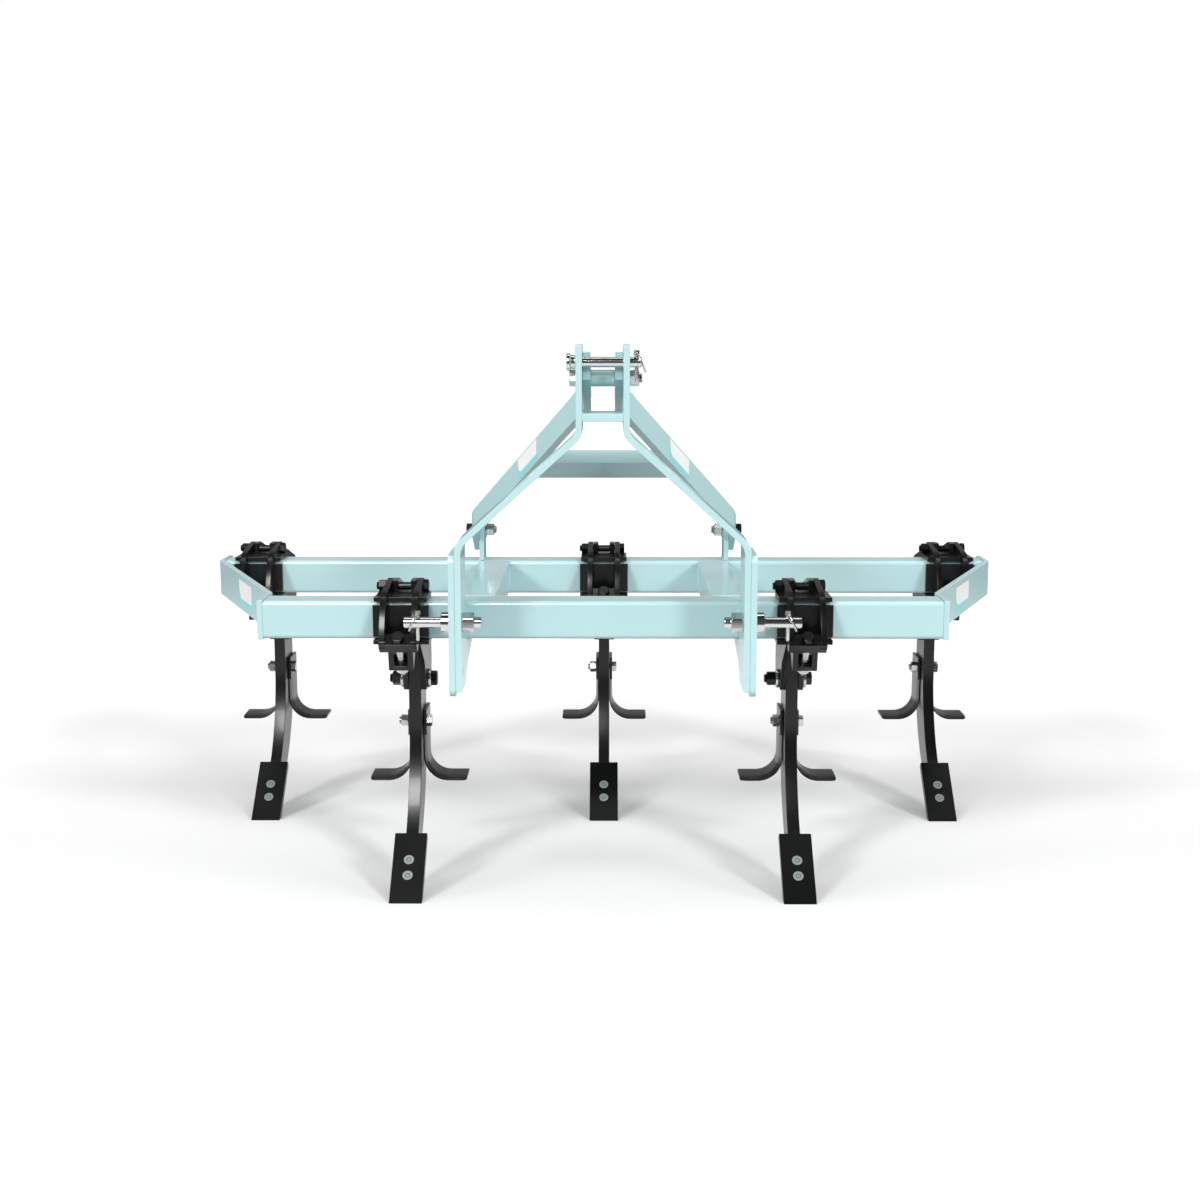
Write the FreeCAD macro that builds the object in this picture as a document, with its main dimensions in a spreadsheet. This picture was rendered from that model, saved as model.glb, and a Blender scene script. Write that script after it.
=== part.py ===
import FreeCAD, Part
import Sketcher
import math
import os

# Five-tine subsoiler on a three-point hitch, standing on its points.
# Lengths are millimetres, angles degrees, +Z up, the hitch faces -Y.
# Pieces are drawn with Y = 0 on the front face of the front bar and Z = 0 on the ground,
# and then shifted along Y so that the origin is under the middle of the machine.

doc = FreeCAD.newDocument("Subsoiler")
sheet = doc.addObject("Spreadsheet::Sheet", "Sizes")

# name, value, what it is
SIZES = [
    ("tinePitch", 525, "sideways distance from one tine to the next"),
    ("rowGap", 750, "distance from the front row of tines to the rear row"),
    ("tubeSize", 100, "outer width and height of the square bars"),
    ("tubeWall", 8, "wall of the bars"),
    ("tubeRound", 12, "outer corner radius of the bars"),
    ("barHeight", 709, "underside of the bars above the ground"),
    ("frontReach", 886, "half length of the front bar"),
    ("rearReach", 1153, "half length of the rear bar"),
    ("sidePlate", 15, "thickness of the side plates"),
    ("sideOverlap", 2, "how far a side plate stands above and below the bars"),
    ("sideFrontRun", 36, "straight run of a side plate behind the front bar"),
    ("sideRearRun", 10, "straight run of a side plate behind the rear bar"),
    ("beamWidth", 90, "width of the beams that join the bars"),
    ("beamPlace", 332, "middle of each beam from the middle of the machine"),
    ("mastBar", 16, "thickness of the mast bars and hitch plates"),
    ("mastDepth", 140, "front-to-back width of the mast bars"),
    ("hitchReach", 180, "front edge of the hitch plates ahead of the front bar"),
    ("mastGap", 101, "clear width between the mast bars at the top"),
    ("hitchGap", 706, "clear width between the mast bars at the bottom"),
    ("mastTop", 1470, "top of the mast above the ground"),
    ("mastBendDrop", 225, "upper bend of the mast bars below the mast's top"),
    ("mastBendRise", 163, "lower bend of the mast bars above the top of the bars"),
    ("mastDrop", 102, "lower end of the mast bars below the underside of the bars"),
    ("mastBend", 40, "bend radius of the mast bars"),
    ("hookReach", 139, "rear end of a mast bar's hook behind the front face of the front bar"),
    ("hookEnd", 29, "height of that end"),
    ("hookWaist", 58, "depth of the hook under the middle of its belly"),
    ("hookNose", 87, "depth of the hook's front end under the bar, before the plate's back edge"),
    ("tiePlate", 20, "thickness of the plate that ties the mast bars"),
    ("tieDrop", 166, "top of the tie plate below the mast's top"),
    ("plateRise", 145, "top of the hitch plates above the top of the bars"),
    ("plateDrop", 116, "lower end of the hitch plates below the underside of the bars"),
    ("plateRound", 22, "corner radius of the hitch plates"),
    ("lowerPin", 28.4, "diameter of the lower hitch pins"),
    ("lowerPinRise", 69, "lower hitch pins above the underside of the bars"),
    ("lowerPinSetback", 42, "hitch pins behind the front edge of the plates"),
    ("pinHoleStep", 130, "distance between the three pin holes of a hitch plate"),
    ("lowerPinSpan", 812, "distance between the shoulders of the lower pins"),
    ("lowerPinLength", 95, "length of a lower pin outside its shoulder"),
    ("lowerPinNut", 30, "thickness of the nut of a lower pin"),
    ("lowerPinTail", 48, "threaded end of a lower pin inside the hitch plates"),
    ("topPin", 25.4, "diameter of the top hitch pin"),
    ("topPinDrop", 42.5, "top hitch pin below the mast's top"),
    ("topPinNeck", 13, "length of the collar of the top pin"),
    ("topPinHead", 9, "length of the head of the top pin"),
    ("topPinTail", 29, "end of the top pin outside the mast bar"),
    ("braceBar", 20, "thickness of the braces"),
    ("braceHeight", 69, "upright height of the braces"),
    ("braceSetback", 56, "front end of the braces behind the front edge of the mast bars"),
    ("braceBoltBack", 95, "upper brace bolt behind the front edge of the mast bars"),
    ("braceBoltDrop", 83, "upper brace bolt below the mast's top"),
    ("braceLift", 9, "middle line of the braces above their upper bolt"),
    ("braceSag", 14, "middle line of the braces below their lower bolts"),
    ("braceBendHigh", 15, "upper bend of the braces behind the front face of the front bar"),
    ("braceBendLow", 25, "lower bend of the braces ahead of the rear bar"),
    ("braceRound", 100, "inner radius of the lower bend of the braces"),
    ("braceTail", 85, "rear end of the braces behind the front face of the rear bar"),
    ("braceBolt", 24, "diameter of the brace bolts"),
    ("spacerWall", 8.5, "wall of the spacer on the upper brace bolt"),
    ("braceWasher", 4, "thickness of the washers of the lower brace bolts"),
    ("braceTieWidth", 100, "width of the tie between the braces, along them"),
    ("braceTieHeight", 40, "height of the tie between the braces"),
    ("braceTieSetback", 366, "middle of that tie behind the front bar's face"),
    ("tieWall", 5, "wall of that tie"),
    ("lugPlate", 15, "thickness of the lugs on the rear bar"),
    ("lugOffset", 26, "outer face of the lugs outside the inner face of the mast bars' feet"),
    ("lugRise", 90, "lower brace bolts above the top of the bars"),
    ("lugInset", 5, "foot of a lug inside the edges of the bar"),
    ("lugTaper", 10, "narrowing of a lug on each side"),
    ("lugShoulder", 15, "start of a lug's round top above its bolt"),
    ("clampWidth", 145, "width of a tine clamp"),
    ("clampPlate", 11.7, "thickness of the clamp's face, rear and bottom plates"),
    ("clampInset", 8, "edges of the face and rear plates inside those of the bar"),
    ("clampTop", 12, "thickness of the clamp's top plate"),
    ("clampTopWidth", 138, "width of the clamp's top plate"),
    ("clampRib", 16, "thickness of the clamp's ribs"),
    ("clampRibPlace", 33, "inner face of a rib from the middle of the clamp"),
    ("ribTail", 25, "rear end of a rib behind the clamp bolt"),
    ("ribHigh", 31, "height of a rib over the clamp bolt, above the top plate"),
    ("ribLow", 15, "height of a rib over the front of the bar, above the top plate"),
    ("ribShoulder", 22, "shoulder of a rib ahead of the front face of the bar"),
    ("ribShoulderHeight", 4, "height of that shoulder above the top plate"),
    ("ribNose", 84, "front edge of a rib ahead of the front face of the bar"),
    ("ribToe", 62, "lowest corner of a rib ahead of the front face of the bar"),
    ("ribDrop", 22, "that corner below the underside of the bar"),
    ("ribHollow", 160, "radius of a rib's hollow front edge"),
    ("clampBolt", 20, "diameter of the clamp bolts"),
    ("clampBoltRise", 13, "clamp bolt above the top plate"),
    ("slantAngle", 43, "lean of the clamp's front bolt from upright"),
    ("slantReach", 88, "head of that bolt ahead of the front face of the bar"),
    ("slantRise", 25, "head of that bolt above the underside of the bar"),
    ("slantGrip", 126, "yoke's lower end from the top of that bolt"),
    ("lipStart", 16, "lip of the slanting bolt from the top of that bolt"),
    ("lipLength", 32, "thickness of that lip"),
    ("lipWidth", 36, "width of that lip"),
    ("yokeWidth", 40, "width of the yoke that takes the slanting bolt's nut"),
    ("yokeFront", 36, "front of the yoke ahead of the front face of the bar"),
    ("yokeBack", 70, "rear of the yoke behind that face"),
    ("anvil", 18, "thickness of the block under that nut"),
    ("seat", 0.3, "gap between pieces that are clamped together"),
    ("holderPlate", 15, "thickness of the plates that hold the shank"),
    ("holderDrop", 197, "lower end of those plates below the underside of the bar"),
    ("holderToe", 9, "lower front corner of those plates behind the shank's front edge"),
    ("holderBelly", 30, "front of those plates ahead of the shank"),
    ("holderBellyDrop", 110, "that front below the underside of the bar"),
    ("holderBack", 18, "back of those plates behind the shank"),
    ("holderBackLow", 140, "lower end of that back below the underside of the bar"),
    ("holderBackHigh", 60, "upper end of that back above the underside of the bar"),
    ("holderBolt", 24, "diameter of the shank bolts"),
    ("holderBoltDrop", 171, "lower shank bolt below the underside of the bar"),
    ("holderBoltRise", 15, "upper shank bolt above the underside of the bar"),
    ("holderBoltLowBack", 45, "lower shank bolt behind the shank's front edge"),
    ("holderBoltHighBack", 65, "upper shank bolt behind the shank's front edge"),
    ("holderWasher", 10, "thickness of the washers of the shank bolts"),
    ("shankThick", 34, "thickness of the shank"),
    ("shankDepth", 130, "front-to-back width of the shank"),
    ("shankPlace", 272, "front edge of the shank behind the front face of its bar"),
    ("shankRise", 81, "top of the shank above the underside of the bar"),
    ("shankBendDrop", 289, "start of the shank's bend below the underside of the bar"),
    ("heelReach", 165, "heel of the shank ahead of its back edge"),
    ("heelHeight", 98, "heel of the shank above the ground"),
    ("soleLength", 120, "length of the shank's sole"),
    ("soleRise", 25, "rise of the sole to the rear"),
    ("pointWidth", 88, "width of the point"),
    ("pointLength", 217, "length of the point"),
    ("pointThick", 22, "thickness of the point"),
    ("pointAngle", 42, "slope of the point from level"),
    ("pointTip", 35, "tip of the point ahead of the front face of its bar"),
    ("footLength", 165, "how far down the point the shank's foot reaches"),
    ("footRise", 18, "how far the shank's face runs on above the point"),
    ("wingThick", 9, "thickness of the wings"),
    ("wingSpan", 274, "width over both wings"),
    ("wingRise", 25, "top of the wings above the start of the shank's bend"),
    ("wingDrop", 171, "upper face of the level part of the wings below that start"),
    ("wingFront", 316, "leading edge of the wings behind the front face of the bar"),
    ("wingDepth", 101, "front-to-back width of the wings"),
    ("wingRadius", 60, "inner bend radius of the wings"),
    ("wingSquare", 72, "upper part of the wings' leading edge that stays square"),
    ("wingBevel", 30, "width of the bevel along the wings' leading edge"),
    ("wingEdge", 6, "depth of that bevel"),
    ("wingCorner", 15, "radius of the wings' front corners"),
    ("wingBolt", 20, "diameter of the wing bolt"),
    ("wingBoltDrop", 8, "wing bolt below the start of the shank's bend"),
    ("wingBoltBack", 20, "wing bolt behind the wings' leading edge"),
]


class Size:
    """A number together with the formula on the sheet that gives it."""

    def __init__(self, formula, number):
        self.formula = formula
        self.number = number

    def join(self, other, sign, number, swap=False):
        mine, theirs = self.formula, formula_of(other)
        if swap:
            mine, theirs = theirs, mine
        return Size("(" + mine + " " + sign + " " + theirs + ")", number)

    def __add__(self, other):
        return self.join(other, "+", self.number + number_of(other))

    def __radd__(self, other):
        return self.join(other, "+", number_of(other) + self.number, swap=True)

    def __sub__(self, other):
        return self.join(other, "-", self.number - number_of(other))

    def __rsub__(self, other):
        return self.join(other, "-", number_of(other) - self.number, swap=True)

    def __mul__(self, other):
        return self.join(other, "*", self.number * number_of(other))

    def __rmul__(self, other):
        return self.join(other, "*", number_of(other) * self.number, swap=True)

    def __truediv__(self, other):
        return self.join(other, "/", self.number / number_of(other))

    def __neg__(self):
        return Size("(0 - " + self.formula + ")", -self.number)


def number_of(value):
    return value.number if isinstance(value, Size) else float(value)


def formula_of(value):
    return value.formula if isinstance(value, Size) else repr(float(value))


def sine(angle):
    return Size("sin(" + formula_of(angle) + ")", math.sin(math.radians(number_of(angle))))


def cosine(angle):
    return Size("cos(" + formula_of(angle) + ")", math.cos(math.radians(number_of(angle))))


def root(value):
    return Size("sqrt(" + formula_of(value) + ")", math.sqrt(number_of(value)))


class Named:
    """The sizes of the table by name."""


size = Named()
for row, (name, value, meaning) in enumerate(SIZES, start=1):
    sheet.set("A" + str(row), name)
    sheet.set("B" + str(row), str(value))
    sheet.set("C" + str(row), meaning)
    sheet.setAlias("B" + str(row), name)
    setattr(size, name, Size("Sizes." + name, float(value)))
doc.recompute()

barTop = size.barHeight + size.tubeSize
hitchFront = -size.hitchReach
hitchFace = size.hitchGap / 2
mastFace = size.mastGap / 2
mastOut = mastFace + size.mastBar
hitchOut = hitchFace + size.mastBar * 2
pinY = hitchFront + size.lowerPinSetback
topPinZ = size.mastTop - size.topPinDrop
lowerPinZ = size.barHeight + size.lowerPinRise
shankBack = size.shankPlace + size.shankDepth
shankBend = size.barHeight - size.shankBendDrop
rearMost = size.rowGap + shankBack + size.holderBack
shift = (size.hitchReach - rearMost) / 2

nodes = []


def bind(thing, path, value):
    """Sets one property of an object by a formula on the sheet."""
    thing.setExpression(path, formula_of(value))


def place(thing, x=0, y=0, z=0, turn=None):
    """Puts an object where the formulas say, turned about an axis by an angle."""
    if turn:
        thing.Placement = FreeCAD.Placement(FreeCAD.Vector(), FreeCAD.Rotation(*turn))
    for axis, value in (("x", x), ("y", y), ("z", z)):
        bind(thing, "Placement.Base." + axis, value)
    return thing


def keep(thing, label, x=0, row=0):
    """Makes an object a sub-part with its own label, at its tine or in the frame."""
    thing.Label = label
    place(thing, x, shift + size.rowGap * row, 0)
    nodes.append(thing)
    return thing


def origin_plane(body, role):
    return [f for f in body.Origin.OriginFeatures if f.Role == role][0]


def outline(body, name, role, points, holes=(), offset=0):
    """Draws a closed outline on an origin plane: points are (u, v) or (u, v, radius).

    A radius turns the side that ends in that point into an arc, which bulges to the
    right of its chord when it is positive. Every point is tied to the sheet."""
    sketch = body.newObject("Sketcher::SketchObject", name)
    sketch.AttachmentSupport = [(origin_plane(body, role), "")]
    sketch.MapMode = "FlatFace"
    if number_of(offset) != 0:
        bind(sketch, "AttachmentOffset.Base.z", offset)
    count = len(points)
    flat = [(number_of(p[0]), number_of(p[1])) for p in points]
    for i in range(count):
        a, b = flat[i - 1], flat[i]
        if len(points[i]) == 3:
            add_arc(sketch, a, b, number_of(points[i][2]))
        else:
            sketch.addGeometry(Part.LineSegment(FreeCAD.Vector(*a, 0), FreeCAD.Vector(*b, 0)))
    for i in range(count):
        end = 1 if len(points[i]) == 3 and number_of(points[i][2]) < 0 else 2
        after = (i + 1) % count
        start = 2 if len(points[after]) == 3 and number_of(points[after][2]) < 0 else 1
        sketch.addConstraint(Sketcher.Constraint("Coincident", i, end, after, start))
        tie_point(sketch, i, end, points[i][0], points[i][1])
        if len(points[i]) == 3:
            radius = points[i][2] if number_of(points[i][2]) > 0 else -points[i][2]
            index = sketch.addConstraint(Sketcher.Constraint("Radius", i, number_of(radius)))
            bind(sketch, "Constraints[" + str(index) + "]", radius)
    for u, v, diameter in holes:
        centre = FreeCAD.Vector(number_of(u), number_of(v), 0)
        circle = Part.Circle(centre, FreeCAD.Vector(0, 0, 1), number_of(diameter) / 2)
        item = sketch.addGeometry(circle)
        tie_point(sketch, item, 3, u, v)
        index = sketch.addConstraint(Sketcher.Constraint("Diameter", item, number_of(diameter)))
        bind(sketch, "Constraints[" + str(index) + "]", diameter)
    return sketch


def add_arc(sketch, a, b, radius):
    """Adds the arc from a to b; it bulges right of the way from a to b when radius > 0."""
    chord = math.dist(a, b)
    rise = math.sqrt(max(radius * radius - chord * chord / 4, 0))
    left = (-(b[1] - a[1]) / chord, (b[0] - a[0]) / chord)
    side = -1 if radius > 0 else 1
    middle = ((a[0] + b[0]) / 2, (a[1] + b[1]) / 2)
    crown = abs(radius) - rise
    through = (middle[0] + side * left[0] * crown, middle[1] + side * left[1] * crown)
    arc = Part.Arc(FreeCAD.Vector(*a, 0), FreeCAD.Vector(*through, 0), FreeCAD.Vector(*b, 0))
    sketch.addGeometry(arc)


def tie_point(sketch, item, end, u, v):
    for kind, value in (("DistanceX", u), ("DistanceY", v)):
        index = sketch.addConstraint(
            Sketcher.Constraint(kind, -1, 1, item, end, number_of(value)))
        bind(sketch, "Constraints[" + str(index) + "]", value)


def side_piece(label, points, start, thickness, holes=()):
    """A plate that lies in a YZ plane: points are (y, z), from X = start on."""
    body = doc.addObject("PartDesign::Body", label)
    sketch = outline(body, label + "_outline", "YZ_Plane", points, holes, start)
    return pad(body, sketch, thickness)


def front_piece(label, points, start, depth, holes=()):
    """A plate seen from the front: points are (x, z), from Y = start backwards."""
    body = doc.addObject("PartDesign::Body", label)
    sketch = outline(body, label + "_outline", "XZ_Plane", points, holes, -start)
    return pad(body, sketch, depth, True)


def top_piece(label, points, start, height, holes=()):
    """A plate seen from above: points are (x, y), from Z = start up."""
    body = doc.addObject("PartDesign::Body", label)
    sketch = outline(body, label + "_outline", "XY_Plane", points, holes, start)
    return pad(body, sketch, height)


def pad(body, sketch, length, back=False):
    feature = body.newObject("PartDesign::Pad", body.Label + "_pad")
    feature.Profile = sketch
    bind(feature, "Length", length)
    feature.Reversed = back
    sketch.Visibility = False
    body.Tip = feature
    return body


def round_edges(body, corners, radius, axis):
    """Rounds the long edges that run along an axis through the given corners."""
    doc.recompute()
    base = body.Tip
    others = [i for i in range(3) if i != axis]
    names = []
    for index, edge in enumerate(base.Shape.Edges, start=1):
        ends = [vertex.Point for vertex in edge.Vertexes]
        if len(ends) != 2 or abs(ends[0][axis] - ends[1][axis]) < 1:
            continue
        for corner in corners:
            gaps = [abs(e[o] - number_of(c)) for e in ends for o, c in zip(others, corner)]
            if max(gaps) < 0.5:
                names.append("Edge" + str(index))
    feature = body.newObject("PartDesign::Fillet", body.Label + "_round")
    feature.Base = (base, names)
    bind(feature, "Radius", radius)
    body.Tip = feature
    return body


def box(name, x, y, z, length, width, height):
    thing = doc.addObject("Part::Box", name)
    for path, value in (("Length", length), ("Width", width), ("Height", height)):
        bind(thing, path, value)
    return place(thing, x, y, z)


ALONG_X = (FreeCAD.Vector(0, 1, 0), 90)


def rod(name, diameter, x, y, z, length, turn=ALONG_X):
    thing = doc.addObject("Part::Cylinder", name)
    bind(thing, "Radius", diameter / 2)
    bind(thing, "Height", length)
    return place(thing, x, y, z, turn)


def hexagon(name, flats, x, y, z, length, turn=ALONG_X):
    thing = doc.addObject("Part::Prism", name)
    thing.Polygon = 6
    bind(thing, "Circumradius", flats / 2 / cosine(30))
    bind(thing, "Height", length)
    return place(thing, x, y, z, turn)


def fuse(name, things):
    thing = doc.addObject("Part::MultiFuse", name)
    thing.Shapes = things
    return thing


def cut(name, base, tool):
    thing = doc.addObject("Part::Cut", name)
    thing.Base = base
    thing.Tool = tool
    return thing


def span(make, name, width, a, b, y, z):
    """A rod or hexagon along X from one face to another."""
    low, high = (a, b) if number_of(a) < number_of(b) else (b, a)
    return make(name, width, low, y, z, high - low)


def cross_bolt(name, diameter, headFace, nutFace, y, z, washer=None):
    """A bolt along X with its head on one face and its nut on the other one."""
    way = 1 if number_of(headFace) > number_of(nutFace) else -1
    flats = diameter * 1.5
    head = headFace
    nut = nutFace
    things = []
    if washer is not None:
        head = headFace + washer * way
        nut = nutFace - washer * way
        things.append(span(rod, name + "_washer_head", diameter * 2.2, headFace, head, y, z))
        things.append(span(rod, name + "_washer_nut", diameter * 2.2, nutFace, nut, y, z))
    headEnd = head + diameter * (0.7 * way)
    nutEnd = nut - diameter * way
    things += [
        span(rod, name + "_shaft", diameter, head, nutEnd - diameter * (0.3 * way), y, z),
        span(hexagon, name + "_head", flats, head, headEnd, y, z),
        span(hexagon, name + "_nut", flats, nut, nutEnd, y, z),
    ]
    return fuse(name, things)


def square_tube(label, half, front):
    """A square bar of the frame: rounded corners, open through its length."""
    low, high = size.barHeight, barTop
    back = front + size.tubeSize
    wall = size.tubeWall
    outer = side_piece(label + "_outer", [(front, low), (back, low), (back, high), (front, high)],
                       -half, half * 2)
    corners = [(y, z) for y in (front, back) for z in (low, high)]
    round_edges(outer, corners, size.tubeRound, 0)
    inner = box(label + "_inner", -half, front + wall, low + wall, half * 2,
                size.tubeSize - wall * 2, size.tubeSize - wall * 2)
    return cut(label, outer, inner)


def frame_bars():
    keep(square_tube("front_bar", size.frontReach, size.rowGap * 0), "front_bar")
    keep(square_tube("rear_bar", size.rearReach, size.rowGap), "rear_bar")


def side_plates():
    """Bent plates that close the bars' ends and slant from the front bar to the rear one."""
    low = size.barHeight - size.sideOverlap
    tall = size.tubeSize + size.sideOverlap * 2
    front, rear, t = size.frontReach, size.rearReach, size.sidePlate
    bendFront = size.tubeSize + size.sideFrontRun
    bendRear = size.rowGap
    end = size.rowGap + size.tubeSize + size.sideRearRun
    run = bendRear - bendFront
    slant = root(run * run + (rear - front) * (rear - front))
    miter = t * (rear - front) / (slant + run)
    for side, sign in (("left", -1), ("right", 1)):
        points = [
            (front * sign, size.tubeSize * 0), ((front + t) * sign, size.tubeSize * 0),
            ((front + t) * sign, bendFront - miter), ((rear + t) * sign, bendRear - miter),
            ((rear + t) * sign, end), (rear * sign, end),
            (rear * sign, bendRear), (front * sign, bendFront),
        ]
        keep(top_piece("side_plate_" + side, points, low, tall), "side_plate_" + side)


def beams():
    """Two square beams between the bars, level with their tops."""
    w = size.beamWidth
    wall = size.tubeWall
    length = size.rowGap - size.tubeSize
    for side, sign in (("left", -1), ("right", 1)):
        label = "beam_" + side
        x = size.beamPlace * sign - w / 2
        outer = box(label + "_outer", x, size.tubeSize, barTop - w, w, length, w)
        inner = box(label + "_inner", x + wall, size.tubeSize, barTop - w + wall,
                    w - wall * 2, length, w - wall * 2)
        keep(cut(label, outer, inner), label)


def mast_bars():
    """Flat bars that run down from the top link, spread out and hook under the front bar."""
    t = size.mastBar
    bendHigh = size.mastTop - size.mastBendDrop
    bendLow = barTop + size.mastBendRise
    foot = size.barHeight - size.mastDrop
    spread = hitchFace - mastFace
    drop = bendHigh - bendLow
    slope = root(spread * spread + drop * drop)
    miter = t * spread / (slope + drop)
    low = size.barHeight
    back = hitchFront + size.mastDepth
    seat = size.seat
    hook = [
        (back, foot + size.plateRound), (-seat, low - size.hookWaist),
        (size.hookReach, low - size.hookEnd), (size.hookReach, low - seat),
        (-seat, low - seat), (-seat, barTop), (back - t, barTop),
        (back - t, foot), (back - t * 3, foot),
    ]
    for side, sign in (("left", -1), ("right", 1)):
        label = "mast_bar_" + side
        points = [
            (mastFace * sign, size.mastTop), (mastFace * sign, bendHigh),
            (hitchFace * sign, bendLow), (hitchFace * sign, foot),
            ((hitchFace + t) * sign, foot), ((hitchFace + t) * sign, bendLow + miter),
            (mastOut * sign, bendHigh + miter), (mastOut * sign, size.mastTop),
        ]
        bent = front_piece(label + "_bent", points, hitchFront, size.mastDepth)
        round_edges(bent, [points[1], points[6]], size.mastBend, 1)
        round_edges(bent, [points[2], points[5]], size.mastBend, 1)
        start = hitchFace if sign > 0 else -(hitchFace + t)
        under = side_piece(label + "_hook", hook, start, t)
        tools = [rod(label + "_hole_top", size.topPin + 0.8, -hitchFace, pinY, topPinZ,
                     hitchFace * 2),
                 rod(label + "_hole_bolt", size.braceBolt + 0.6, -hitchFace,
                     braceTopY, braceBoltHigh, hitchFace * 2)]
        for step in (-1, 0, 1):
            tools.append(rod(label + "_hole" + str(step + 1), size.lowerPin + 1, start - t, pinY,
                             lowerPinZ + size.pinHoleStep * step, t * 3))
        whole = fuse(label + "_whole", [bent, under])
        keep(cut(label, whole, fuse(label + "_holes", tools)), label)


def hitch_plates():
    """Plates outside the mast bars that carry the lower pins, welded to the front bar."""
    t = size.mastBar
    holes = [(pinY, lowerPinZ + size.pinHoleStep * step, size.lowerPin + 1)
             for step in (-1, 0, 1)]
    top, foot = barTop + size.plateRise, size.barHeight - size.plateDrop
    points = [(hitchFront, foot), (-size.seat, foot), (-size.seat, top), (hitchFront, top)]
    for side, sign in (("left", -1), ("right", 1)):
        label = "hitch_plate_" + side
        start = (hitchFace + t) if sign > 0 else -hitchOut
        body = side_piece(label, points, start, t, holes)
        keep(round_edges(body, points, size.plateRound, 0), label)


def mast_tie():
    """The level plate between the mast bars under the top link."""
    back = hitchFront + size.mastDepth
    keep(top_piece("mast_tie", [
        (-mastFace, hitchFront), (mastFace, hitchFront), (mastFace, back), (-mastFace, back),
    ], size.mastTop - size.tieDrop - size.tiePlate, size.tiePlate), "mast_tie")


# The braces lie between the mast bars at the top and outside the lugs at the rear.
braceTopY = hitchFront + size.braceBoltBack
braceLowY = size.rowGap + size.tubeSize / 2
braceBoltHigh = size.mastTop - size.braceBoltDrop
braceBoltLow = barTop + size.lugRise
braceStartZ = braceBoltHigh + size.braceLift
braceFall = (braceStartZ - braceBoltLow + size.braceSag) / (braceLowY - braceTopY)
braceInX = mastFace - size.seat - size.braceBar
lugFace = hitchFace + size.lugOffset
braceOutX = lugFace + size.seat
braceEnd = size.rowGap - size.braceBendLow
braceRun = braceEnd - size.braceBendHigh
braceSpread = braceOutX - braceInX
braceSlant = root(braceRun * braceRun + braceSpread * braceSpread)
braceMiter = size.braceBar * braceSpread / (braceSlant + braceRun)


def brace_z(y):
    """Height of the braces' middle line at y."""
    return braceStartZ - (y - braceTopY) * braceFall


def brace_x(y):
    """Inner face of the braces at y, between their bends."""
    return braceInX + (y - size.braceBendHigh - braceMiter) * braceSpread / braceRun


def braces():
    """Bent flat bars from the mast's top back to the lugs on the rear bar."""
    t = size.braceBar
    start = hitchFront + size.braceSetback
    end = size.rowGap + size.braceTail
    half = size.braceHeight / 2
    for side, sign in (("left", -1), ("right", 1)):
        label = "brace_" + side
        points = [
            ((braceInX + t) * sign, start), (braceInX * sign, start),
            (braceInX * sign, size.braceBendHigh + braceMiter),
            (braceOutX * sign, braceEnd + braceMiter),
            (braceOutX * sign, end), ((braceOutX + t) * sign, end),
            ((braceOutX + t) * sign, braceEnd), ((braceInX + t) * sign, size.braceBendHigh),
        ]
        plan = top_piece(label + "_plan", points, size.barHeight, size.mastTop)
        round_edges(plan, [points[3]], size.braceRound, 2)
        round_edges(plan, [points[6]], size.braceRound + t, 2)
        band = side_piece(label + "_band", [
            (start, brace_z(start) - half), (end, brace_z(end) - half),
            (end, brace_z(end) + half), (start, brace_z(start) + half),
        ], -hitchFace * 2, hitchFace * 4, [
            (braceTopY, braceBoltHigh, size.braceBolt + 0.6),
            (braceLowY, braceBoltLow, size.braceBolt + 0.6),
        ])
        thing = doc.addObject("Part::Common", label)
        thing.Base = plan
        thing.Tool = band
        keep(thing, label)


def tilted(middleY, middleZ, along, across):
    """Corners of a rectangle about a point, tilted like the braces."""
    slope = root(braceFall * braceFall + 1)
    dy, dz = along / 2 / slope, along / 2 * braceFall / slope
    ny, nz = across / 2 * braceFall / slope, across / 2 / slope
    return [(middleY - dy - ny, middleZ + dz - nz), (middleY + dy - ny, middleZ - dz - nz),
            (middleY + dy + ny, middleZ - dz + nz), (middleY - dy + ny, middleZ + dz + nz)]


def brace_tie():
    """The flat tube across the braces, tilted like them."""
    y = size.braceTieSetback
    wide, high, wall = size.braceTieWidth, size.braceTieHeight, size.tieWall
    front, back = y - wide, y + wide
    plan = top_piece("brace_tie_plan", [
        (-brace_x(front), front), (brace_x(front), front),
        (brace_x(back), back), (-brace_x(back), back),
    ], size.barHeight, size.mastTop)
    outer = side_piece("brace_tie_outer", tilted(y, brace_z(y), wide, high),
                       -hitchFace, hitchFace * 2)
    inner = side_piece("brace_tie_inner", tilted(y, brace_z(y), wide - wall * 2, high - wall * 2),
                       -hitchFace, hitchFace * 2)
    thing = doc.addObject("Part::Common", "brace_tie")
    thing.Base = cut("brace_tie_tube", outer, inner)
    thing.Tool = plan
    keep(thing, "brace_tie")


def brace_lugs():
    """Upright lugs welded on the rear bar; the braces are bolted to their outer faces."""
    front = size.rowGap + size.lugInset
    back = size.rowGap + size.tubeSize - size.lugInset
    top = braceBoltLow + size.lugShoulder
    taper = size.lugTaper
    points = [
        (front, barTop), (back, barTop), (back - taper, top),
        (front + taper, top, (back - front) / 2),
    ]
    for side, sign in (("left", -1), ("right", 1)):
        label = "brace_lug_" + side
        start = lugFace - size.lugPlate if sign > 0 else -lugFace
        keep(side_piece(label, points, start, size.lugPlate,
                        [(braceLowY, braceBoltLow, size.braceBolt + 0.6)]), label)


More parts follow.
